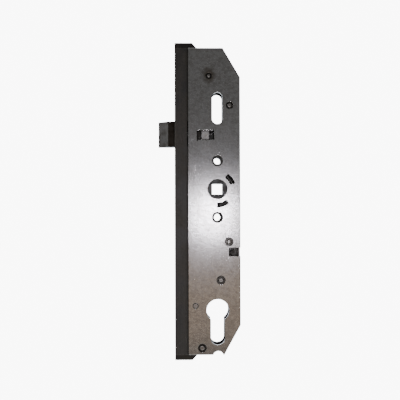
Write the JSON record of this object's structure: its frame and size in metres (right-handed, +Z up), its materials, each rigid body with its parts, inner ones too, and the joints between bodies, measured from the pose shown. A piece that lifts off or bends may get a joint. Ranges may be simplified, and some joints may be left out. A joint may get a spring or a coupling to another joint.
{
  "type": "mortise lock",
  "caption": "Multipoint door lock centre case: two riveted plates, front channel, bevelled latch, spindle follower, drive bar and cylinder deadlock.",
  "frame": {"origin": "centre of the square spindle hole, at mid-thickness of the case", "axes": "+X into the door, away from its edge and the latch; +Z up; -Y towards the cover plate"},
  "size_m": [0.0622, 0.016, 0.2411],
  "materials": {
    "plate_steel": "bright steel sheet with a mottled zinc finish and handling scratches",
    "dark_channel": "dark coated steel, satin, slightly brown where it is worn",
    "dark_block": "dark coated die casting, satin",
    "bush_steel": "turned steel tube, darkened",
    "post_steel": "riveted steel pin ends, dark and dull",
    "sintered_steel": "sintered steel, brown-grey and matt",
    "lever_steel": "stamped steel",
    "dark_lever": "stamped steel, oiled dark brown",
    "pin_steel": "turned steel",
    "spring_steel": "drawn spring wire",
    "follower_zinc": "dark die-cast zinc",
    "bar_steel": "galvanised strip"
  },
  "bodies": {
    "case": {"cover_plate": "plate_steel", "case_tray": "plate_steel", "front_channel": "dark_channel", "upper_end_block": "dark_block", "lower_end_block": "dark_block", "upper_fixing_bush": "bush_steel", "lower_fixing_bush": "bush_steel", "spacer_posts": "post_steel", "deadlock_pivot": "post_steel", "flange_rivets": "post_steel", "latch_guide": "lever_steel", "latch_spring": "spring_steel", "spring_seat": "lever_steel", "follower_spring": "spring_steel", "slider_studs": "pin_steel", "deadlock_spring": "spring_steel"},
    "latch": {"latch_bolt": "sintered_steel", "latch_tail": "lever_steel", "latch_pin": "pin_steel"},
    "lever": {"latch_lever": "dark_lever"},
    "handle_follower": {"follower": "follower_zinc"},
    "cam": {"drive_cam": "follower_zinc"},
    "drive_slide": {"drive_bar": "bar_steel", "drive_rack": "lever_steel", "rack_rivets": "pin_steel", "rod_connectors": "bar_steel"},
    "deadlock_arm": {"deadlock_lever": "dark_lever"},
    "deadlock_bolt": {"deadlock_slider": "lever_steel"}
  },
  "joints": [
    {"name": "follower_turn", "type": "hinge", "parent": "case", "child": "handle_follower", "pos_m": [0, 0, 0], "axis": [0, 1, 0], "range_deg": [0, 32], "stiffness_Nm_per_rad": 1, "springref_deg": -14.32, "deforming": ["latch_spring", "follower_spring"]},
    {"name": "latch_lever_turn", "type": "hinge", "parent": "case", "child": "lever", "pos_m": [0, 0, 0.0215], "axis": [0, 1, 0], "range_deg": [0, 29.75]},
    {"name": "latch_slide", "type": "slide", "parent": "case", "child": "latch", "axis": [1, 0, 0], "range_m": [0, 0.01205]},
    {"name": "drive_cam_turn", "type": "hinge", "parent": "case", "child": "cam", "pos_m": [0, 0, 0], "axis": [0, 1, 0], "range_deg": [-52, 0]},
    {"name": "drive_bar_slide", "type": "slide", "parent": "case", "child": "drive_slide", "axis": [0, 0, 1], "range_m": [-0.02, 0]},
    {"name": "deadlock_lever_turn", "type": "hinge", "parent": "case", "child": "deadlock_arm", "pos_m": [0.0025, 0, -0.069], "axis": [0, 1, 0], "range_deg": [-14.5, 0], "deforming": ["deadlock_spring"]},
    {"name": "deadlock_slide", "type": "slide", "parent": "case", "child": "deadlock_bolt", "axis": [1, 0, 0], "range_m": [-0.00304, 0]}
  ],
  "couplings": [
    {"joint": "latch_lever_turn", "follows": "follower_turn", "ratio": 0.92812},
    {"joint": "latch_slide", "follows": "follower_turn", "m_per_rad": 0.021486},
    {"joint": "drive_bar_slide", "follows": "drive_cam_turn", "m_per_rad": 0.022},
    {"joint": "deadlock_slide", "follows": "deadlock_lever_turn", "m_per_rad": 0.012}
  ]
}
